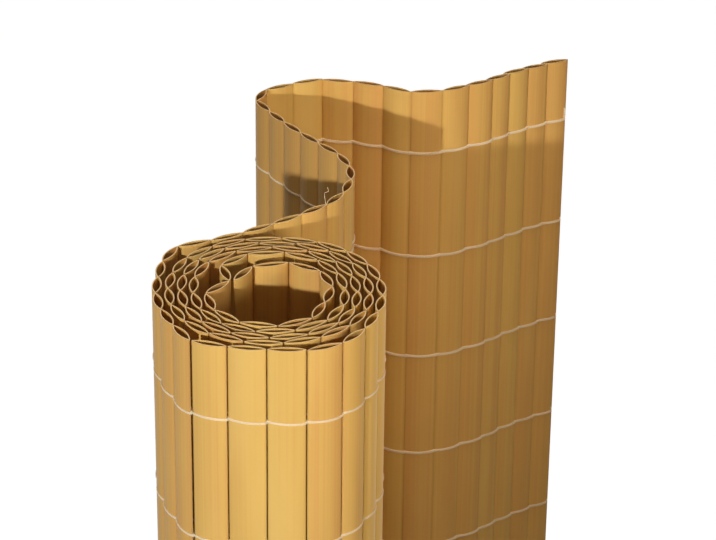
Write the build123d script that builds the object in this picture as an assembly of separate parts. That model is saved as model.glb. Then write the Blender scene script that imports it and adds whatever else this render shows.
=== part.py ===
from build123d import *
import os
from math import atan2, cos, degrees, hypot, radians, sin, sqrt

# A screening mat of hollow plastic slats, bound edge to edge by rows of cord and half rolled up.
# The mat stands on the ends of its slats. Millimetres and degrees, +X right, +Y away, +Z up.

# Slat: an extrusion of two bowed walls that meet in two thin edges
MAT_HEIGHT = 800.0
SLAT_WIDTH = 16.6
SLAT_THICKNESS = 4.4
SLAT_WALL = 0.6
SLAT_GAP = 0.5

# Binding cord: a flattened strand that lies across the slats in evenly spaced rows
CORD_ROWS = 13
CORD_MARGIN = 35.0
CORD_WIDTH = 0.9
CORD_THICKNESS = 0.45
CORD_SEAT = 0.1

# Roll: an oval spiral, with the outer turn standing off in places, dents in the core and its end curled in
ROLL_TURNS = 5.05
ROLL_RADIUS = 57.6
ROLL_OVAL = 4.7
OVAL_AXIS = 94.5
ROLL_START = 119.5
BULGE_FADE = 1.2
# Place, height and half width of each bulge of the outer turn
BULGES = ((138.5, 6.3, 24.0), (238.5, 5.9, 24.0), (297.0, 5.7, 35.0))
# Turn, depth and half width of each dent of the core
CORE_DENTS = ((4.11, 11.5, 33.0), (4.58, 3.6, 40.0))
# The core's end curls in by this much between these turns
CORE_CURL = 7.8
CURL_FIRST_TURN = 4.76
CURL_FULL_TURN = 4.96

# Tail: number of joints and turn at each joint, from the roll outwards, left turns positive
TAIL_BENDS = (
    (4, 4.5),
    (5, 16.0),
    (4, -2.5),
    (2, -41.0),
    (1, -8.5),
    (1, -35.5),
    (2, -10.5),
    (1, 38.0),
    (1, 24.0),
)
# The last joints, where the slats' edges lie over each other
EDGE_BENDS = ((2, 7.0), (3, -4.0))
EDGE_OVERLAP = 3.0
EDGE_CLEARANCE = 0.5
# The cord shows on the roll's outside up to here, and changes faces at this joint of the tail
CORD_TURNS = 0.88
CORD_CROSSING = 15

# Sizes that follow from those above
HALF_WIDTH = SLAT_WIDTH / 2
HALF_THICKNESS = SLAT_THICKNESS / 2
FACE_RADIUS = (HALF_WIDTH**2 + HALF_THICKNESS**2) / SLAT_THICKNESS
FACE_DEPTH = FACE_RADIUS - HALF_THICKNESS
BORE_HALF_WIDTH = sqrt((FACE_RADIUS - SLAT_WALL) ** 2 - FACE_DEPTH**2)
SLAT_PITCH = SLAT_WIDTH + SLAT_GAP
TURN_PITCH = SLAT_THICKNESS + 2 * (CORD_SEAT + CORD_THICKNESS)
FULL_TURN = 360.0
# Halvings of a quarter turn that place a joint
PLACING_STEPS = 40


def half_thickness_at(inset):
    """Half the slat's thickness at a distance in from its edge."""
    return sqrt(FACE_RADIUS**2 - (HALF_WIDTH - inset) ** 2) - FACE_DEPTH


# Overlapping slats step sideways far enough to pass each other's edges
EDGE_STEP = 2 * half_thickness_at(EDGE_OVERLAP / 2) + EDGE_CLEARANCE
EDGE_ADVANCE = SLAT_WIDTH - EDGE_OVERLAP
EDGE_PITCH = hypot(EDGE_ADVANCE, EDGE_STEP)
EDGE_TILT = degrees(atan2(EDGE_STEP, EDGE_ADVANCE))
CORD_INNER = FACE_RADIUS - FACE_DEPTH * cos(radians(EDGE_TILT)) + CORD_SEAT
CORD_OUTER = CORD_INNER + CORD_THICKNESS


def within_turn(angle):
    """The same direction as an angle, from minus to plus half a turn."""
    return (angle + FULL_TURN / 2) % FULL_TURN - FULL_TURN / 2


def swell(offset, half_width):
    """A smooth hump of height 1 about a zero offset, in degrees, and 0 past its half width."""
    if abs(offset) > half_width:
        return 0.0
    return (1 + cos(radians(FULL_TURN / 2 * offset / half_width))) / 2


def ramp(value, low, high):
    """Rises from 0 at low to 1 at high."""
    return min(max((value - low) / (high - low), 0.0), 1.0)


def turns_at(angle):
    """Turns wound inwards from the roll's start."""
    return (angle - ROLL_START) / FULL_TURN


def roll_point(angle):
    """A point of the mat's middle line in the roll, seen from above, about the roll's axis."""
    turns = turns_at(angle)
    radius = ROLL_RADIUS - TURN_PITCH * turns + ROLL_OVAL * cos(radians(2 * (angle - OVAL_AXIS)))
    outer_share = ramp(-turns, -BULGE_FADE, 1 - BULGE_FADE)
    for place, height, half_width in BULGES:
        radius += outer_share * height * swell(within_turn(angle - place), half_width)
    for turn, depth, half_width in CORE_DENTS:
        radius -= depth * swell(FULL_TURN * (turns - turn), half_width)
    radius -= CORE_CURL * ramp(turns, CURL_FIRST_TURN, CURL_FULL_TURN)
    return (radius * cos(radians(angle)), radius * sin(radians(angle)))


def distance(start, end):
    """Length of the straight line between two points."""
    return hypot(end[0] - start[0], end[1] - start[1])


def heading(start, end):
    """Direction from one point to another, in degrees from +X."""
    return degrees(atan2(end[1] - start[1], end[0] - start[0]))


def next_roll_angle(angle):
    """The angle of the next joint inwards, one slat pitch away in a straight line."""
    start = roll_point(angle)
    low = angle
    high = angle + FULL_TURN / 4
    for _ in range(PLACING_STEPS):
        middle = (low + high) / 2
        if distance(start, roll_point(middle)) < SLAT_PITCH:
            low = middle
        else:
            high = middle
    return high


def roll_angles():
    """Angles of the roll's joints, from the outer turn's start to the free end in the core."""
    angles = [ROLL_START]
    while turns_at(angles[-1]) < ROLL_TURNS:
        angles.append(next_roll_angle(angles[-1]))
    return angles


def tail_points(start, direction):
    """Joints of the unrolled tail, from the roll's start to the mat's free edge."""
    points = [start]
    for bends, pitch in ((TAIL_BENDS, SLAT_PITCH), (EDGE_BENDS, EDGE_PITCH)):
        for joints, turn in bends:
            for _ in range(joints):
                direction += turn
                x, y = points[-1]
                points.append((x + pitch * cos(radians(direction)), y + pitch * sin(radians(direction))))
    return points


def lens_profile(half_width, half_thickness):
    """A lens of two equal arcs that meet on the X axis."""
    front = ThreePointArc((-half_width, 0), (0, -half_thickness), (half_width, 0))
    back = ThreePointArc((half_width, 0), (0, half_thickness), (-half_width, 0))
    return make_face([front, back])


def make_slat():
    """One hollow slat that stands on Z = 0, with its width along X."""
    outside = lens_profile(HALF_WIDTH, HALF_THICKNESS)
    bore = lens_profile(BORE_HALF_WIDTH, HALF_THICKNESS - SLAT_WALL)
    return extrude(outside - bore, MAT_HEIGHT)


def place_slat(slat, start, end, tilt=0.0):
    """A copy of the slat between two joints, turned from the line between them by tilt."""
    middle = ((start[0] + end[0]) / 2, (start[1] + end[1]) / 2, 0)
    return Location(middle, (0, 0, heading(start, end) + tilt)) * slat


def side_line(points, offset):
    """The line of joints moved to its left by offset, with its corners mitred."""
    headings = [radians(heading(start, end)) for start, end in zip(points, points[1:])]
    before = [headings[0]] + headings
    after = headings + [headings[-1]]
    line = []
    for (x, y), first, second in zip(points, before, after):
        share = offset / (1 + cos(second - first))
        line.append((x - share * (sin(first) + sin(second)), y + share * (cos(first) + cos(second))))
    return line


def make_strand(points, side):
    """A strand that follows the slats' faces, on the left of the joints for a side of 1, else -1."""
    outline = side_line(points, side * CORD_INNER) + side_line(points, side * CORD_OUTER)[::-1]
    return extrude(make_face(Polyline(*outline, close=True)), CORD_WIDTH)


# Joints of the mat
angles = roll_angles()
roll = [roll_point(angle) for angle in angles]
tail = tail_points(roll[0], heading(roll[1], roll[0]))
edge_joints = sum(joints for joints, _ in EDGE_BENDS)
edge_start = len(tail) - 1 - edge_joints

nodes = {}
slat = make_slat()

# Slats of the tail, numbered from the mat's free edge
tail_pairs = list(zip(tail, tail[1:]))
for index, (start, end) in enumerate(tail_pairs):
    tilt = -EDGE_TILT if index >= edge_start else 0.0
    nodes[f"slat_{len(tail_pairs) - index:02d}"] = [place_slat(slat, start, end, tilt)]

# Slats of the roll, grouped by turn from the outside
for angle, start, end in zip(angles, roll, roll[1:]):
    turn = min(int(turns_at(angle)), int(ROLL_TURNS) - 1)
    nodes.setdefault(f"roll_turn_{turn + 1}", []).append(place_slat(slat, start, end))

# Binding cords, numbered from the top, on the outside up to the fold and then on the panel's front
outer_turn = [point for angle, point in zip(angles, roll) if turns_at(angle) < CORD_TURNS]
outside_run = outer_turn[::-1] + tail[1 : CORD_CROSSING + 1]
panel_run = tail[CORD_CROSSING:]
strands = [make_strand(outside_run, 1), make_strand(panel_run, -1)]
row_step = (MAT_HEIGHT - 2 * CORD_MARGIN) / (CORD_ROWS - 1)
for row in range(CORD_ROWS):
    level = MAT_HEIGHT - CORD_MARGIN - row * row_step - CORD_WIDTH / 2
    nodes[f"binding_cord_{row + 1:02d}"] = [Location((0, 0, level)) * strand for strand in strands]

# The origin is at the bottom, in the middle of the mat's box
box = Compound([piece for pieces in nodes.values() for piece in pieces]).bounding_box()
centre = Location((-box.center().X, -box.center().Y, -box.min.Z))
os.makedirs("parts", exist_ok=True)
for name, pieces in nodes.items():
    export_step(Compound([centre * piece for piece in pieces]), f"parts/{name}.step")
print(f"{len(tail_pairs)} slats in the tail and {len(roll) - 1} in the roll")
print(f"box {box.size.X:.1f} x {box.size.Y:.1f} x {box.size.Z:.1f} mm")
print(f"roll axis at {-box.center().X:.2f}, {-box.center().Y:.2f}")
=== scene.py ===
"""A half-rolled screening mat of hollow plastic slats, bound edge to edge by rows of twined thread.

Lengths are in metres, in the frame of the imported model: +X right, +Y away, +Z up.
"""

from __future__ import annotations

import logging
import math
import random
from collections.abc import Sequence
from dataclasses import dataclass
from enum import Enum
from typing import Any, NamedTuple

import bmesh
import bpy
from mathutils import Matrix, Vector


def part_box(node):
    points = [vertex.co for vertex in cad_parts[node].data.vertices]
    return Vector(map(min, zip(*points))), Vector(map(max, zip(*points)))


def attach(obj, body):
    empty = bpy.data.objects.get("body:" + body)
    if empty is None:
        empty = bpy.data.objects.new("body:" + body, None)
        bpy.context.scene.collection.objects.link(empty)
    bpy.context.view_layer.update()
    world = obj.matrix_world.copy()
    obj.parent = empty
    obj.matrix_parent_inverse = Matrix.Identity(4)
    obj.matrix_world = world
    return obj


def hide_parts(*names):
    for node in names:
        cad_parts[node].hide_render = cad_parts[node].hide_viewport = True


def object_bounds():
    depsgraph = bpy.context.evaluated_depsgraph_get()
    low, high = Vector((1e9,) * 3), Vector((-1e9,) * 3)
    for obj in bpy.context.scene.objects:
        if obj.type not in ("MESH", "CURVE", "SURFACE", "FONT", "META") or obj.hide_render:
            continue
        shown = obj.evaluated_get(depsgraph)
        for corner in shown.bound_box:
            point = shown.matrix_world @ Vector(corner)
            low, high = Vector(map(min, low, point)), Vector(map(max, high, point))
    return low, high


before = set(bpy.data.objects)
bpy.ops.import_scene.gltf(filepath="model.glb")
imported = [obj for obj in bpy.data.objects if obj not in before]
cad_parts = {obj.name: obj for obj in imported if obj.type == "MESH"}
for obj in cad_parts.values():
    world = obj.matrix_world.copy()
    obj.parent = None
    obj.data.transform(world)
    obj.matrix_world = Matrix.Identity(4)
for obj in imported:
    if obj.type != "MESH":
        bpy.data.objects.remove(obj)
CAD_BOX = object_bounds()

LOG = logging.getLogger("screening_mat")
MM = 0.001
UP = Vector((0.0, 0.0, 1.0))
BODY = "root"

Colour = tuple[float, float, float, float]
Scale = tuple[float, float, float]

WHITE: Colour = (1.0, 1.0, 1.0, 1.0)


class Face(Enum):
    """The two faces of the mat, seen along it from its free edge to the roll's core."""

    LEFT = 1
    RIGHT = -1


class Wire:
    """A value in a shader that takes part in arithmetic.

    Args:
        graph: The graph that the value belongs to.
        socket: The output that gives the value, if the node has one.
    """

    def __init__(self, graph: Graph, socket: bpy.types.NodeSocket | None) -> None:
        self.graph = graph
        self.socket = socket

    def _maths(self, operation: str, first: Any, second: Any) -> Wire:
        """Add one Math node for two values."""
        return self.graph.node("ShaderNodeMath", {"operation": operation}, {0: first, 1: second})

    def __add__(self, other: Any) -> Wire:
        """Sum with a value on the right."""
        return self._maths("ADD", self, other)

    def __radd__(self, other: Any) -> Wire:
        """Sum with a value on the left."""
        return self._maths("ADD", other, self)

    def __sub__(self, other: Any) -> Wire:
        """Difference with a value on the right."""
        return self._maths("SUBTRACT", self, other)

    def __rsub__(self, other: Any) -> Wire:
        """Difference with a value on the left."""
        return self._maths("SUBTRACT", other, self)

    def __mul__(self, other: Any) -> Wire:
        """Product with a value on the right."""
        return self._maths("MULTIPLY", self, other)

    def __rmul__(self, other: Any) -> Wire:
        """Product with a value on the left."""
        return self._maths("MULTIPLY", other, self)


class Graph:
    """The shader nodes of one material or of the world.

    Args:
        tree: The node tree to fill, which is emptied first.
    """

    MIX_FIRST = 6
    MIX_SECOND = 7
    MIX_RESULT = 2
    NOISE_MIDDLE = 0.5

    def __init__(self, tree: bpy.types.NodeTree) -> None:
        self.tree = tree
        self.tree.nodes.clear()

    def node(
        self,
        kind: str,
        settings: dict[str, Any] | None = None,
        inputs: dict[int | str, Any] | None = None,
        output: int | str = 0,
    ) -> Wire:
        """Add one node.

        Args:
            kind: The node's type.
            settings: Its properties.
            inputs: Values or wires for its sockets.
            output: Which of its outputs to give back.

        Returns:
            The chosen output.
        """
        made = self.tree.nodes.new(kind)
        for name, value in (settings or {}).items():
            setattr(made, name, value)
        for key, value in (inputs or {}).items():
            if isinstance(value, Wire):
                self.tree.links.new(value.socket, made.inputs[key])
            else:
                made.inputs[key].default_value = value
        return Wire(self, made.outputs[output] if made.outputs else None)

    def mix(self, factor: Any, first: Any, second: Any) -> Wire:
        """Blend two colours.

        Args:
            factor: Share of the second colour.
            first: Colour at a factor of 0.
            second: Colour at a factor of 1.

        Returns:
            The blended colour.
        """
        inputs = {0: factor, self.MIX_FIRST: first, self.MIX_SECOND: second}
        return self.node("ShaderNodeMix", {"data_type": "RGBA"}, inputs, self.MIX_RESULT)

    def noise(self, scale: Scale, detail: float) -> Wire:
        """A soft noise on the object's own coordinates.

        Args:
            scale: Features per metre along X, Y and Z.
            detail: How many finer layers the noise has.

        Returns:
            The noise, from 0 to 1 about a middle of 0.5.
        """
        place = self.node("ShaderNodeTexCoord", output="Object")
        stretched = self.node("ShaderNodeMapping", None, {"Vector": place, "Scale": scale})
        inputs = {"Vector": stretched, "Scale": 1.0, "Detail": detail}
        return self.node("ShaderNodeTexNoise", None, inputs, "Fac")

    def attribute(self, name: str) -> Wire:
        """A number that the mesh carries."""
        return self.node("ShaderNodeAttribute", {"attribute_name": name}, output="Fac")

    def ramp(self, value: Wire, low: float, high: float) -> Wire:
        """Rise from 0 at low to 1 at high."""
        return self.node("ShaderNodeMapRange", None, {"Value": value, "From Min": low, "From Max": high})

    def seen_directly(self) -> Wire:
        """Tell rays that show the surroundings themselves from rays that only light the mat.

        Returns:
            1 for rays from the camera, off a mirror or through glass, else 0.
        """
        seen = self.node("ShaderNodeLightPath", output="Is Camera Ray")
        for kind in ("Is Glossy Ray", "Is Transmission Ray"):
            ray = self.node("ShaderNodeLightPath", output=kind)
            seen = self.node("ShaderNodeMath", {"operation": "MAXIMUM"}, {0: seen, 1: ray})
        return seen


def new_material(name: str) -> tuple[bpy.types.Material, Graph]:
    """Make an empty material.

    Args:
        name: The material's name.

    Returns:
        The material and its graph.
    """
    material = bpy.data.materials.new(name)
    material.use_nodes = True
    return material, Graph(material.node_tree)


@dataclass(frozen=True)
class PvcFinish:
    """Bamboo-coloured rigid plastic, satin, with the long streaks of its extrusion."""

    ochre: Colour = (0.750, 0.476, 0.130, 1.0)
    tan: Colour = (0.710, 0.390, 0.117, 1.0)
    straw: Colour = (0.800, 0.525, 0.156, 1.0)
    # Painted shade: a dark colour laid on each slat towards its two edges, for the shade in the joints
    # between slats
    crease_shade: Colour = (0.250, 0.120, 0.025, 1.0)
    crease_shade_share: float = 0.20
    # Painted highlight: a paler colour for the rims at both ends, for the light that falls on the top rims
    rim_highlight: Colour = (0.950, 0.690, 0.380, 1.0)
    straw_share: float = 0.8
    roughness: float = 0.42
    specular: float = 0.04
    streak_scale: Scale = (170.0, 170.0, 2.5)
    cloud_scale: Scale = (45.0, 45.0, 9.0)
    line_scale: Scale = (1000.0, 1000.0, 4.0)
    streak_detail: float = 3.0
    cloud_detail: float = 2.0
    line_detail: float = 1.0
    streak_range: tuple[float, float] = (0.30, 0.80)
    cloud_range: tuple[float, float] = (0.45, 0.80)
    tone_in_streaks: float = 0.25
    tone_in_clouds: float = 0.16
    line_in_streaks: float = 0.8
    line_in_roughness: float = 0.12
    cloud_in_roughness: float = 0.10
    line_depth: float = 0.05 * MM
    line_strength: float = 0.12

    def material(self) -> bpy.types.Material:
        """Make the material.

        Returns:
            The finished material.
        """
        material, graph = new_material("slat_pvc")
        streak = graph.noise(self.streak_scale, self.streak_detail)
        cloud = graph.noise(self.cloud_scale, self.cloud_detail)
        line = graph.noise(self.line_scale, self.line_detail)
        tone = graph.attribute("tone")
        edge = graph.attribute("edge")
        off_line = line - graph.NOISE_MIDDLE
        off_cloud = cloud - graph.NOISE_MIDDLE
        streaks = streak + tone * self.tone_in_streaks + off_line * self.line_in_streaks
        clouds = cloud - tone * self.tone_in_clouds
        roughness = self.roughness + off_line * self.line_in_roughness + off_cloud * self.cloud_in_roughness
        body = graph.mix(graph.ramp(streaks, *self.streak_range), self.ochre, self.tan)
        body = graph.mix(graph.ramp(clouds, *self.cloud_range) * self.straw_share, body, self.straw)
        # Painted shade: darken each slat towards its two edges, where shade falls in the joints between slats
        body = graph.mix(edge * edge * edge * self.crease_shade_share, body, self.crease_shade)
        # Painted highlight: the rims at both ends, which face up or down, take the paler colour
        colour = graph.mix(graph.attribute("rim_highlight"), body, self.rim_highlight)
        lines = {"Strength": self.line_strength, "Distance": self.line_depth, "Height": line}
        shader = graph.node(
            "ShaderNodeBsdfPrincipled",
            None,
            {
                "Base Color": colour,
                "Specular IOR Level": self.specular,
                "Roughness": roughness,
                "Normal": graph.node("ShaderNodeBump", None, lines),
            },
        )
        graph.node("ShaderNodeOutputMaterial", None, {"Surface": shader})
        return material


@dataclass(frozen=True)
class ThreadFinish:
    """Off-white spun thread of two plies."""

    fibre: Colour = (0.970, 0.795, 0.530, 1.0)
    # Painted shade in the grooves between the plies
    crease_shade: Colour = (0.800, 0.605, 0.370, 1.0)
    roughness: float = 0.75
    sheen: float = 0.30
    plies_along: float = 1500.0
    fuzz_scale: Scale = (3500.0, 3500.0, 3500.0)
    fuzz_detail: float = 2.0
    fuzz_in_colour: float = 0.8
    fuzz_in_height: float = 0.5
    crease_shade_range: tuple[float, float] = (0.0, 0.7)
    ply_depth: float = 0.06 * MM
    ply_strength: float = 0.6

    def material(self) -> bpy.types.Material:
        """Make the material.

        Returns:
            The finished material.
        """
        material, graph = new_material("binding_thread")
        uv = graph.node("ShaderNodeTexCoord", output="UV")
        around = graph.node("ShaderNodeSeparateXYZ", None, {"Vector": uv}, "X")
        along = graph.node("ShaderNodeSeparateXYZ", None, {"Vector": uv}, "Y")
        turn = (along * self.plies_along + around) * math.tau
        wave = graph.node("ShaderNodeMath", {"operation": "SINE"}, {0: turn})
        ply = graph.ramp(wave, -1.0, 1.0)
        fuzz = graph.noise(self.fuzz_scale, self.fuzz_detail)
        crest = ply + (fuzz - graph.NOISE_MIDDLE) * self.fuzz_in_colour
        # Painted shade: the colour darkens in the grooves between the twisted plies
        colour = graph.mix(graph.ramp(crest, *self.crease_shade_range), self.crease_shade, self.fibre)
        height = ply + fuzz * self.fuzz_in_height
        plies = {"Strength": self.ply_strength, "Distance": self.ply_depth, "Height": height}
        shader = graph.node(
            "ShaderNodeBsdfPrincipled",
            None,
            {
                "Base Color": colour,
                "Roughness": self.roughness,
                "Sheen Weight": self.sheen,
                "Normal": graph.node("ShaderNodeBump", None, plies),
            },
        )
        graph.node("ShaderNodeOutputMaterial", None, {"Surface": shader})
        return material


@dataclass(frozen=True)
class FloorFinish:
    """A pale floor that reads as white and still takes a shadow."""

    pale: Colour = (0.50, 0.50, 0.50, 1.0)
    glow: float = 1.55
    glow_share: float = 0.64

    def material(self) -> bpy.types.Material:
        """Make the material.

        Returns:
            The finished material.
        """
        material, graph = new_material("studio_floor")
        matt = graph.node("ShaderNodeBsdfDiffuse", None, {"Color": self.pale})
        glow = graph.node("ShaderNodeEmission", None, {"Strength": self.glow})
        share = graph.seen_directly() * self.glow_share
        shader = graph.node("ShaderNodeMixShader", None, {0: share, 1: matt, 2: glow})
        graph.node("ShaderNodeOutputMaterial", None, {"Surface": shader})
        return material


@dataclass(frozen=True)
class SlatPlace:
    """Where one slat stands, seen from above.

    Args:
        node: The node that holds the slat's solid.
        centre: The middle of its foot.
        along: Unit vector across its width, towards the roll's core.
        half_width: Half its width.
    """

    node: str
    centre: Vector
    along: Vector
    half_width: float

    @property
    def left(self) -> Vector:
        """Unit vector out of the slat's left face."""
        return UP.cross(self.along)

    def edge(self, end: int) -> Vector:
        """The foot of its far edge for an end of 1, or of its near edge for -1."""
        return self.centre + self.along * (end * self.half_width)

    def matrix(self) -> Matrix:
        """Turn and move a slat made at the origin to this place."""
        turn = Matrix((self.along, self.left, UP)).transposed().to_4x4()
        return Matrix.Translation(self.centre) @ turn


class MatPlan:
    """The slats' places in order, from the mat's free edge to the roll's core, read from the frame."""

    MERGE = 0.01 * MM
    # From this slat on the gaps stand open, because the mat is bent round the roll
    FIRST_OPEN = 30

    def __init__(self) -> None:
        nodes = sorted(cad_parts)
        tail = [self._slats(name)[0] for name in nodes if name.startswith("slat_")]
        roll = [slat for name in nodes if name.startswith("roll_turn_") for slat in self._slats(name)]
        self.rows = [name for name in nodes if name.startswith("binding_cord_")]
        self.height = CAD_BOX[1].z
        self.places: list[SlatPlace] = []
        for slat in tail:
            self._add(slat, slat.centre if self.places else tail[1].centre)
        while roll:
            end = self.places[-1].edge(1)
            nearest = min(roll, key=lambda slat: min((slat.edge(side) - end).length for side in (1, -1)))
            roll.remove(nearest)
            self._add(nearest, nearest.centre)

    def _add(self, slat: SlatPlace, ahead: Vector) -> None:
        """Put a slat at the end of the mat, facing the way that the mat runs.

        Args:
            slat: The slat, which may face either way.
            ahead: A point that the mat runs towards there.
        """
        behind = self.places[-1].centre if self.places else slat.centre
        along = slat.along if slat.along.dot(ahead - behind) > 0 else -slat.along
        self.places.append(SlatPlace(slat.node, slat.centre, along, slat.half_width))

    def _slats(self, node: str) -> list[SlatPlace]:
        """Read the slats of one node.

        Args:
            node: The node's name.

        Returns:
            A place for each of its slats, with no order and no sense of direction.
        """
        solid = bmesh.new()
        solid.from_mesh(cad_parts[node].data)
        bmesh.ops.remove_doubles(solid, verts=solid.verts, dist=self.MERGE)
        slats = []
        left_over = set(solid.verts)
        while left_over:
            island = self._island(left_over.pop())
            left_over -= island
            foot = [vert.co.copy() for vert in island if vert.co.z < self.MERGE]
            first, second = max(
                ((one, two) for one in foot for two in foot),
                key=lambda pair: (pair[1] - pair[0]).length,
            )
            across = second - first
            slats.append(SlatPlace(node, (first + second) / 2, across.normalized(), across.length / 2))
        solid.free()
        return slats

    @staticmethod
    def _island(seed: bmesh.types.BMVert) -> set[bmesh.types.BMVert]:
        """Gather the vertices that hang together with one.

        Args:
            seed: The vertex to start from.

        Returns:
            All vertices of its slat.
        """
        island = {seed}
        edge_of_search = [seed]
        while edge_of_search:
            vert = edge_of_search.pop()
            for edge in vert.link_edges:
                other = edge.other_vert(vert)
                if other not in island:
                    island.add(other)
                    edge_of_search.append(other)
        return island

    def joint(self, index: int) -> Vector:
        """The foot of the gap between a slat and the next one."""
        return (self.places[index].edge(1) + self.places[index + 1].edge(-1)) / 2

    def neighbours(self, index: int) -> list[SlatPlace]:
        """The slats on both sides of one."""
        return self.places[max(index - 1, 0) : index] + self.places[index + 1 : index + 2]

    def room(self, index: int, end: int) -> float:
        """How much further one half of a slat may reach before it meets its neighbour.

        Args:
            index: The slat's number in the mat.
            end: 1 for its far half, or -1 for its near half.

        Returns:
            The room, which is none at the mat's ends, where edges lie over each other and round the roll.
        """
        neighbour = index + end
        if not 0 <= neighbour < self.FIRST_OPEN:
            return 0.0
        place = self.places[index]
        gap = self.places[neighbour].edge(-end) - place.edge(end)
        return max(end * gap.dot(place.along) / 2, 0.0)


@dataclass(frozen=True)
class SlatSection:
    """The section of a slat: two bowed walls with a hollow between them and blunt, rounded edges."""

    width: float = 16.6 * MM
    thickness: float = 4.4 * MM
    wall: float = 0.5 * MM
    edge_thickness: float = 0.5 * MM
    edge_round: float = 0.2 * MM
    face_steps: int = 10
    edge_steps: int = 2
    bore_steps: int = 15
    sharp_angle: float = math.radians(50.0)
    rim_slope: float = 0.5

    @property
    def face_rise(self) -> float:
        """How far a face bows out past its edges."""
        return (self.thickness - self.edge_thickness) / 2

    @property
    def face_radius(self) -> float:
        """Radius of a face."""
        return ((self.width / 2) ** 2 + self.face_rise**2) / (2 * self.face_rise)

    def half_thickness_at(self, across: float) -> float:
        """Half the slat's thickness at a distance from its middle."""
        bow = math.sqrt(self.face_radius**2 - across**2) - self.face_radius
        return self.thickness / 2 + bow

    @staticmethod
    def _arc(
        shape: bmesh.types.BMesh,
        start: bmesh.types.BMVert,
        radius: float,
        steps: int,
    ) -> bmesh.types.BMVert:
        """Spin an arc from one edge of the slat to the other.

        Args:
            shape: The mesh to add to.
            start: The arc's first point, below the X axis on the left or above it on the right.
            radius: The arc's radius.
            steps: Number of straight stretches.

        Returns:
            The arc's last point.
        """
        half_width = abs(start.co.x)
        side = -math.copysign(1.0, start.co.x)
        depth = math.sqrt(radius**2 - half_width**2)
        centre = (0.0, start.co.y + side * depth, 0.0)
        angle = 2 * math.asin(half_width / radius)
        spun = bmesh.ops.spin(shape, geom=[start], cent=centre, axis=UP, angle=angle, steps=steps)
        return next(item for item in spun["geom_last"] if isinstance(item, bmesh.types.BMVert))

    def _ring(
        self,
        shape: bmesh.types.BMesh,
        half_width: float,
        edge: float,
        radius: float,
        steps: int,
    ) -> None:
        """Draw a closed lens on the floor, with edges of a given thickness, or sharp ones for none.

        Args:
            shape: The mesh to add to.
            half_width: Half the lens's width.
            edge: Thickness of its two edges.
            radius: Radius of its faces.
            steps: Number of straight stretches in each face.
        """
        first = shape.verts.new((-half_width, -edge / 2, 0.0))
        right = self._arc(shape, first, radius, steps)
        if edge:
            raised = bmesh.ops.extrude_vert_indiv(shape, verts=[right])["verts"]
            bmesh.ops.translate(shape, verts=raised, vec=(0.0, edge, 0.0))
            right = raised[0]
        last = self._arc(shape, right, radius, steps)
        if edge:
            bmesh.ops.contextual_create(shape, geom=[first, last])
        else:
            bmesh.ops.remove_doubles(shape, verts=[first, last], dist=MatPlan.MERGE)

    @staticmethod
    def _raise_walls(shape: bmesh.types.BMesh, height: float) -> None:
        """Extrude a ring upwards into walls.

        Args:
            shape: The mesh, which holds only the ring.
            height: The walls' height.
        """
        risen = bmesh.ops.extrude_edge_only(shape, edges=shape.edges)["geom"]
        top = [item for item in risen if isinstance(item, bmesh.types.BMVert)]
        bmesh.ops.translate(shape, verts=top, vec=UP * height)
        bmesh.ops.recalc_face_normals(shape, faces=shape.faces)

    def make(self, height: float) -> bpy.types.Mesh:
        """Model one slat at the origin, with its width along X.

        Args:
            height: The slat's length.

        Returns:
            Its mesh, with the rims of its two ends marked for a painted highlight and the vertices near its
            edges marked for painted shade.
        """
        half_width = self.width / 2
        shape = bmesh.new()
        self._ring(shape, half_width, self.edge_thickness, self.face_radius, self.face_steps)
        self._raise_walls(shape, height)
        corners = [
            edge
            for edge in shape.edges
            if abs(edge.verts[0].co.z - edge.verts[1].co.z) > height / 2
            and abs(abs(edge.verts[0].co.x) - half_width) < MatPlan.MERGE
        ]
        bmesh.ops.bevel(
            shape,
            geom=corners,
            offset=self.edge_round,
            offset_type="OFFSET",
            segments=self.edge_steps,
            profile=0.5,
            affect="EDGES",
            material=-1,
        )
        self._add_bore(shape, height)
        bmesh.ops.recalc_face_normals(shape, faces=shape.faces)
        # Mark the vertices near the slat's two edges, where the material paints shade for the joints
        edge_shade_mask = shape.verts.layers.float.new("edge")
        for vert in shape.verts:
            vert[edge_shade_mask] = float(abs(vert.co.x) > half_width - 2 * self.edge_round)
        # Mark the rims at both ends, which get a painted highlight
        rim_highlight = shape.faces.layers.float.new("rim_highlight")
        for face in shape.faces:
            is_rim = abs(face.normal.z) > self.rim_slope
            face.smooth = not is_rim
            face[rim_highlight] = float(is_rim)
        for edge in shape.edges:
            edge.smooth = edge.calc_face_angle() < self.sharp_angle
        mesh = bpy.data.meshes.new("slat")
        shape.to_mesh(mesh)
        shape.free()
        return mesh

    def _add_bore(self, shape: bmesh.types.BMesh, height: float) -> None:
        """Add the hollow's walls and join them to the outside at both ends.

        The walls stand past both ends while they are joined, because two loops in one plane join crosswise.

        Args:
            shape: The slat's outside.
            height: The slat's length.
        """
        radius = self.face_radius - self.wall
        depth = self.face_radius - self.thickness / 2
        bore = bmesh.new()
        self._ring(bore, math.sqrt(radius**2 - depth**2), 0.0, radius, self.bore_steps)
        self._raise_walls(bore, height + 2 * self.width)
        bmesh.ops.translate(bore, verts=bore.verts, vec=-UP * self.width)
        inside = bpy.data.meshes.new("bore")
        bore.to_mesh(inside)
        bore.free()
        shape.from_mesh(inside)
        bpy.data.meshes.remove(inside)
        open_edges = [edge for edge in shape.edges if edge.is_boundary]
        for is_top in (False, True):
            rim = [edge for edge in open_edges if (edge.verts[0].co.z > height / 2) == is_top]
            bmesh.ops.bridge_loops(shape, edges=rim)
        above = [vert for vert in shape.verts if vert.co.z > height + self.width / 2]
        below = [vert for vert in shape.verts if vert.co.z < -self.width / 2]
        bmesh.ops.translate(shape, verts=above, vec=-UP * self.width)
        bmesh.ops.translate(shape, verts=below, vec=UP * self.width)


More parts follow.
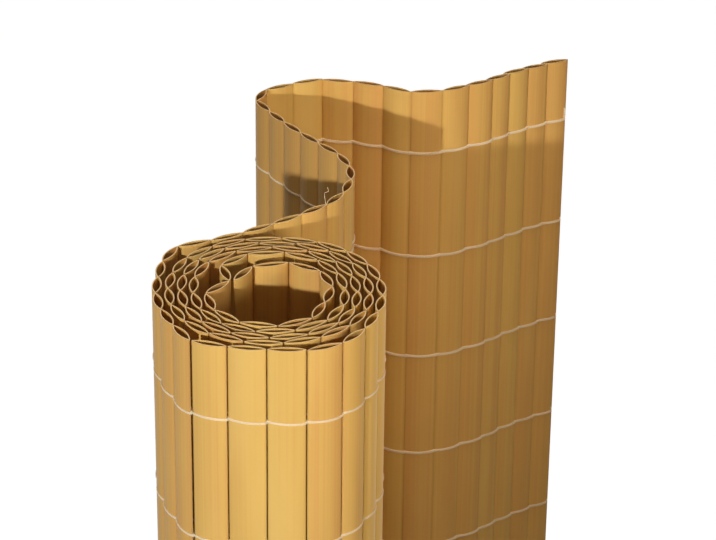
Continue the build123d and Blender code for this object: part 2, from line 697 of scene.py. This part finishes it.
@dataclass
class Slats:
    """All slats of the mat, one piece for each node that they stand for.

    Args:
        plan: Where the slats stand.
        section: Their section.
        finish: Their material.
    """

    plan: MatPlan
    section: SlatSection
    finish: bpy.types.Material
    edge_press: float = 0.05 * MM
    wide_gap: int = 33
    wide_gap_opening: float = 0.6 * MM
    uneven_top: float = 0.5 * MM
    lean: float = 0.06 * MM
    seed: int = 18681

    def build(self) -> list[bpy.types.Object]:
        """Model every slat at its place.

        Returns:
            The pieces, in the order of the mat.
        """
        chance = random.Random(self.seed)
        slat = self.section.make(self.plan.height)
        shapes: dict[str, bmesh.types.BMesh] = {}
        for index, place in enumerate(self.plan.places):
            shape = shapes.setdefault(place.node, bmesh.new())
            self._add_slat(shape, slat, index, chance)
        bpy.data.meshes.remove(slat)
        return [self._piece(node, shape) for node, shape in shapes.items()]

    def _add_slat(
        self,
        shape: bmesh.types.BMesh,
        slat: bpy.types.Mesh,
        index: int,
        chance: random.Random,
    ) -> None:
        """Add one slat to a piece, a little uneven in length, stance and tone.

        Args:
            shape: The piece's mesh.
            slat: The slat at the origin.
            index: Its number in the mat.
            chance: Source of its unevenness.
        """
        place = self.plan.places[index]
        before = len(shape.verts)
        shape.from_mesh(slat)
        shape.verts.ensure_lookup_table()
        verts = shape.verts[before:]
        for end in (-1, 1):
            half = [vert for vert in verts if vert.co.x * end > 0]
            room = self.plan.room(index, end)
            reach = room + self.edge_press if room else 0.0
            if (index, end) == (self.wide_gap, -1):
                reach = -self.wide_gap_opening
            bmesh.ops.scale(shape, verts=half, vec=(1.0 + reach / place.half_width, 1.0, 1.0))
        top = [vert for vert in verts if vert.co.z > self.plan.height / 2]
        shift = (chance.uniform(-self.lean, self.lean), 0.0, -self.uneven_top * chance.random() ** 2)
        bmesh.ops.translate(shape, verts=top, vec=shift)
        bmesh.ops.transform(shape, matrix=place.matrix(), verts=verts)
        tone = shape.verts.layers.float.get("tone") or shape.verts.layers.float.new("tone")
        shade = chance.uniform(-1.0, 1.0)
        shape.verts.ensure_lookup_table()
        for vert in shape.verts[before:]:
            vert[tone] = shade

    def _piece(self, node: str, shape: bmesh.types.BMesh) -> bpy.types.Object:
        """Turn a finished mesh into the piece that stands for a node.

        Args:
            node: The node's name.
            shape: The piece's mesh, which is used up.

        Returns:
            The piece.
        """
        mesh = bpy.data.meshes.new(f"{node}_lens")
        shape.to_mesh(mesh)
        shape.free()
        mesh.materials.append(self.finish)
        return add_piece(mesh, "slat_pvc", node)


def add_piece(mesh: bpy.types.Mesh, slot: str, *nodes: str) -> bpy.types.Object:
    """Put a finished mesh into the scene as a piece of the mat.

    Args:
        mesh: The mesh, with its place in its vertices.
        slot: The material slot that it belongs to; not used.
        nodes: The nodes that it stands for.

    Returns:
        The piece.
    """
    piece = bpy.data.objects.new(mesh.name, mesh)
    bpy.context.scene.collection.objects.link(piece)
    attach(piece, BODY)
    if nodes:
        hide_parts(*nodes)
    LOG.info("%s: %d faces, for %s", piece.name, len(mesh.polygons), ", ".join(nodes) or "no node")
    return piece


class ThreadPoint(NamedTuple):
    """A point on a thread's route, and the thread's size there as a share of its full size."""

    spot: Vector
    size: float = 1.0


@dataclass(frozen=True)
class Strand:
    """One strand of a row, which keeps to one face of the mat.

    Args:
        face: The face that it lies on.
        size: Its size, as a share of the finer strand's.
        slope: How far it rises from the middle of a slat to the edge.
        dip: How far it stays off the mat's middle in a gap.
    """

    face: Face
    size: float
    slope: float
    dip: float


@dataclass
class BindingThread:
    """The rows of thread: two strands a row, one on each face of the mat, hooked together in the gaps.

    Args:
        plan: Where the slats stand.
        section: The slats' section.
        finish: The thread's material.
    """

    plan: MatPlan
    section: SlatSection
    finish: bpy.types.Material
    strands: tuple[Strand, ...] = (
        Strand(face=Face.LEFT, size=1.4, slope=0.15 * MM, dip=0.60 * MM),
        Strand(face=Face.RIGHT, size=1.0, slope=0.42 * MM, dip=0.0),
    )
    width: float = 1.1 * MM
    thickness: float = 0.42 * MM
    seat: float = 0.05 * MM
    wander: float = 0.18 * MM
    stations: tuple[float, ...] = (-0.46, -0.28, -0.1, 0.1, 0.28, 0.46)
    knot: float = 1.25
    tail_size: float = 0.9
    top_tail_turns: float = 2.6
    tail_turns: tuple[float, float] = (0.5, 1.3)
    tail_steps: int = 8
    tail_pitch: float = 2.6 * MM
    tail_ring: float = 0.55
    seed: int = 5

    def build(self) -> list[bpy.types.Object]:
        """Lay every row.

        Returns:
            The pieces, from the top row down.
        """
        chance = random.Random(self.seed)
        pieces = []
        for node in self.plan.rows:
            low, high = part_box(node)
            level = (low.z + high.z) / 2
            heights = [level + chance.uniform(-self.wander, self.wander) for _ in self.plan.places]
            tail_turns = chance.uniform(*self.tail_turns) if pieces else self.top_tail_turns
            routes = [self._route(strand, heights, tail_turns) for strand in self.strands]
            mesh = thread_mesh(f"{node}_strands", routes, self.width, self.thickness)
            mesh.materials.append(self.finish)
            pieces.append(add_piece(mesh, "cord", node))
        return pieces

    def _route(self, strand: Strand, heights: Sequence[float], tail_turns: float) -> list[ThreadPoint]:
        """The route of one strand.

        Args:
            strand: The strand.
            heights: Its height on each slat.
            tail_turns: How often its ends wind round the other strand's.

        Returns:
            Points along the strand, from the free edge to the core.
        """
        places = self.plan.places
        side = strand.face.value
        lift = self.seat + strand.size * self.thickness / 2
        points = self._tail(places[0], -1, strand.face, heights[0], tail_turns)
        for index, (place, level) in enumerate(zip(places, heights)):
            for station in self.stations:
                across = station * self.section.width
                stand_off = self.section.half_thickness_at(across) + lift
                spot = place.centre + place.along * across + place.left * (side * stand_off)
                if self._is_clear(spot, index, side):
                    rise = level + 2 * station * side * strand.slope
                    points.append(ThreadPoint(spot + UP * rise, strand.size))
            if index + 1 < len(places):
                points += self._hook(index, strand, (level + heights[index + 1]) / 2)
        return points + self._tail(places[-1], 1, strand.face, heights[-1], tail_turns)[::-1]

    def _is_clear(self, spot: Vector, index: int, side: int) -> bool:
        """Whether a point beside a slat isn't covered by one of the slat's neighbours.

        Args:
            spot: The point.
            index: The slat's number in the mat.
            side: 1 for the slat's left face, or -1 for its right one.

        Returns:
            Whether the point lies in the open.
        """
        for place in self.plan.neighbours(index):
            offset = spot - place.centre
            across = offset.dot(place.along)
            if abs(across) < place.half_width:
                if side * offset.dot(place.left) < self.section.half_thickness_at(across):
                    return False
        return True

    def _hook(self, index: int, strand: Strand, level: float) -> list[ThreadPoint]:
        """Where a strand dips into a gap and hooks round the other strand.

        Args:
            index: The number of the slat before the gap.
            strand: The strand.
            level: The row's height in the gap.

        Returns:
            The points at which the strand goes in and comes out.
        """
        place, ahead = self.plan.places[index : index + 2]
        outwards = (place.left + ahead.left).normalized() * strand.face.value
        edge = max((place.edge(1), ahead.edge(-1)), key=outwards.dot)
        spot = edge + outwards * strand.dip + UP * level
        rise = UP * (strand.face.value * strand.slope)
        size = strand.size * self.knot
        return [ThreadPoint(spot + rise, size), ThreadPoint(spot - rise, size)]

    def _tail(
        self,
        place: SlatPlace,
        end: int,
        face: Face,
        level: float,
        turns: float,
    ) -> list[ThreadPoint]:
        """The end of a strand, wound round the other strand beside the mat's edge.

        Args:
            place: The slat at the edge.
            end: 1 for its far edge, or -1 for its near edge.
            face: The face that the strand comes from.
            level: The row's height.
            turns: How often it winds round.

        Returns:
            Points from the strand's tip to the slat's edge.
        """
        root = place.edge(end) - place.along * (end * self.width) + place.left * self.width
        phase = 0.0 if face is Face.LEFT else math.pi
        points = []
        for step in range(int(turns * self.tail_steps), 0, -1):
            turn = step / self.tail_steps
            angle = phase + math.tau * turn
            ring = place.along * math.cos(angle) + place.left * math.sin(angle)
            spot = root + ring * (self.thickness * self.tail_ring) + UP * (level + turn * self.tail_pitch)
            points.append(ThreadPoint(spot, self.tail_size))
        return points


@dataclass
class LooseThread:
    """A fine loose thread that curls up out of a gap in the mat's top edge.

    Args:
        plan: Where the slats stand.
        finish: The thread's material.
    """

    plan: MatPlan
    finish: bpy.types.Material
    gap: int = 21
    diameter: float = 0.25 * MM
    curl: tuple[tuple[float, float, float], ...] = (
        (0.0, 0.0, -3.0),
        (-0.4, 0.6, 0.0),
        (-0.7, 1.6, 1.2),
        (-0.9, 3.0, 2.5),
        (-1.3, 4.4, 3.7),
        (-0.7, 5.0, 4.2),
        (0.7, 4.8, 4.1),
        (1.0, 5.8, 5.0),
        (0.4, 7.0, 6.0),
    )

    def build(self) -> bpy.types.Object:
        """Lay the thread.

        Returns:
            The piece.
        """
        foot = self.plan.joint(self.gap) + UP * self.plan.height
        route = [ThreadPoint(foot + Vector(spot) * MM) for spot in self.curl]
        mesh = thread_mesh("loose_thread", [route], self.diameter, self.diameter)
        mesh.materials.append(self.finish)
        return add_piece(mesh, "cord")


def thread_mesh(
    name: str,
    routes: Sequence[Sequence[ThreadPoint]],
    width: float,
    thickness: float,
) -> bpy.types.Mesh:
    """Sweep a flattened round section along smooth routes.

    Args:
        name: The mesh's name.
        routes: The points of each strand.
        width: The section's height.
        thickness: Its thickness.

    Returns:
        One mesh with all strands.
    """
    curve = bpy.data.curves.new(name, "CURVE")
    curve.dimensions = "3D"
    curve.twist_mode = "Z_UP"
    curve.bevel_depth = thickness / 2
    curve.extrude = (width - thickness) / 2
    curve.bevel_resolution = 1
    curve.resolution_u = 1
    curve.use_fill_caps = True
    for route in routes:
        spline = curve.splines.new("NURBS")
        spline.points.add(len(route) - 1)
        for point, stop in zip(spline.points, route):
            point.co = (*stop.spot, 1.0)
            point.radius = stop.size
        spline.order_u = 3
        spline.use_endpoint_u = True
    holder = bpy.data.objects.new(name, curve)
    mesh = bpy.data.meshes.new_from_object(holder)
    mesh.name = name
    bpy.data.objects.remove(holder)
    bpy.data.curves.remove(curve)
    return mesh


@dataclass(frozen=True)
class Lamp:
    """One lamp of the studio.

    Args:
        name: Its name.
        power: Its radiant power in watts.
        size: Diameter of its bulb, or side of its square panel.
        place: Where it hangs.
        aim: What its panel faces, or nothing for a bare bulb.
        spread: How wide the panel's light spreads.
        colour: The light's colour.
    """

    name: str
    power: float
    size: float
    place: Vector
    aim: Vector | None = None
    spread: float = math.pi
    colour: tuple[float, float, float] = (1.0, 1.0, 1.0)

    def hang(self) -> None:
        """Put the lamp into the scene."""
        light = bpy.data.lights.new(self.name, "AREA" if self.aim else "POINT")
        light.energy = self.power
        light.color = self.colour
        turn = Matrix.Identity(4)
        if self.aim:
            light.size = self.size
            light.spread = self.spread
            turn = (self.place - self.aim).to_track_quat("Z", "Y").to_matrix().to_4x4()
        else:
            light.shadow_soft_size = self.size / 2
        holder = bpy.data.objects.new(self.name, light)
        holder.matrix_world = Matrix.Translation(self.place) @ turn
        bpy.context.scene.collection.objects.link(holder)


@dataclass(frozen=True)
class Studio:
    """White floor and surroundings, a small hard lamp near the roll, three soft warm ones, and the camera."""

    lamps: tuple[Lamp, ...] = (
        Lamp(name="key", power=20.9, size=0.024, place=Vector((-0.343, -0.909, 0.946))),
        Lamp(
            name="right_fill",
            power=0.47,
            size=0.20,
            place=Vector((0.40, -0.45, 0.85)),
            aim=Vector((-0.05, 0.13, 0.80)),
            spread=math.radians(90.0),
            colour=(1.0, 0.86, 0.70),
        ),
        Lamp(
            name="top_fill",
            power=2.2,
            size=0.25,
            place=Vector((-0.05, -0.10, 1.50)),
            aim=Vector((-0.05, -0.10, 0.80)),
            colour=(1.0, 0.92, 0.82),
        ),
        Lamp(
            name="back_fill",
            power=5.0,
            size=0.35,
            place=Vector((0.30, 0.95, 0.60)),
            aim=Vector((0.02, 0.15, 0.42)),
            colour=(1.0, 0.92, 0.82),
        ),
    )
    ambient: float = 0.065
    ambient_tint: Colour = (1.0, 0.86, 0.70, 1.0)
    floor_half_size: float = 6.0
    floor_level: float = -0.2 * MM
    camera_place: Vector = Vector((-0.01067, -1.17905, 1.2948))
    camera_pitch: float = math.radians(24.61)
    camera_roll: float = math.radians(0.67)
    lens: float = 132.1
    sensor: float = 36.0

    def build(self) -> None:
        """Set up the floor, the light and the camera."""
        self._floor()
        self._surroundings()
        for lamp in self.lamps:
            lamp.hang()
        self._camera()
        bpy.context.scene.view_settings.view_transform = "Standard"

    def _floor(self) -> None:
        """Lay the floor just under the mat."""
        sheet = bmesh.new()
        bmesh.ops.create_grid(sheet, x_segments=1, y_segments=1, size=self.floor_half_size)
        bmesh.ops.translate(sheet, verts=sheet.verts, vec=UP * self.floor_level)
        mesh = bpy.data.meshes.new("studio_floor")
        sheet.to_mesh(mesh)
        sheet.free()
        mesh.materials.append(FloorFinish().material())
        floor = bpy.data.objects.new("studio_floor", mesh)
        bpy.context.scene.collection.objects.link(floor)

    def _surroundings(self) -> None:
        """Surround the mat with a faint even light, and with white where it is seen itself."""
        world = bpy.data.worlds.new("studio")
        world.use_nodes = True
        bpy.context.scene.world = world
        graph = Graph(world.node_tree)
        seen = graph.seen_directly()
        tint = graph.mix(seen, self.ambient_tint, WHITE)
        strength = self.ambient + seen * (1.0 - self.ambient)
        glow = graph.node("ShaderNodeBackground", None, {"Color": tint, "Strength": strength})
        graph.node("ShaderNodeOutputWorld", None, {"Surface": glow})

    def _camera(self) -> None:
        """Stand the camera where the mat is seen from."""
        eye = bpy.data.cameras.new("camera")
        eye.lens = self.lens
        eye.sensor_width = self.sensor
        holder = bpy.data.objects.new("camera", eye)
        pitch = Matrix.Rotation(math.pi / 2 - self.camera_pitch, 4, "X")
        roll = Matrix.Rotation(self.camera_roll, 4, "Z")
        holder.matrix_world = Matrix.Translation(self.camera_place) @ pitch @ roll
        bpy.context.scene.collection.objects.link(holder)
        bpy.context.scene.camera = holder


def main() -> None:
    """Build the mat and its studio."""
    logging.basicConfig(level=logging.INFO)
    plan = MatPlan()
    section = SlatSection()
    Slats(plan, section, PvcFinish().material()).build()
    thread = ThreadFinish().material()
    BindingThread(plan, section, thread).build()
    LooseThread(plan, thread).build()
    Studio().build()


if __name__ == "__main__":
    main()
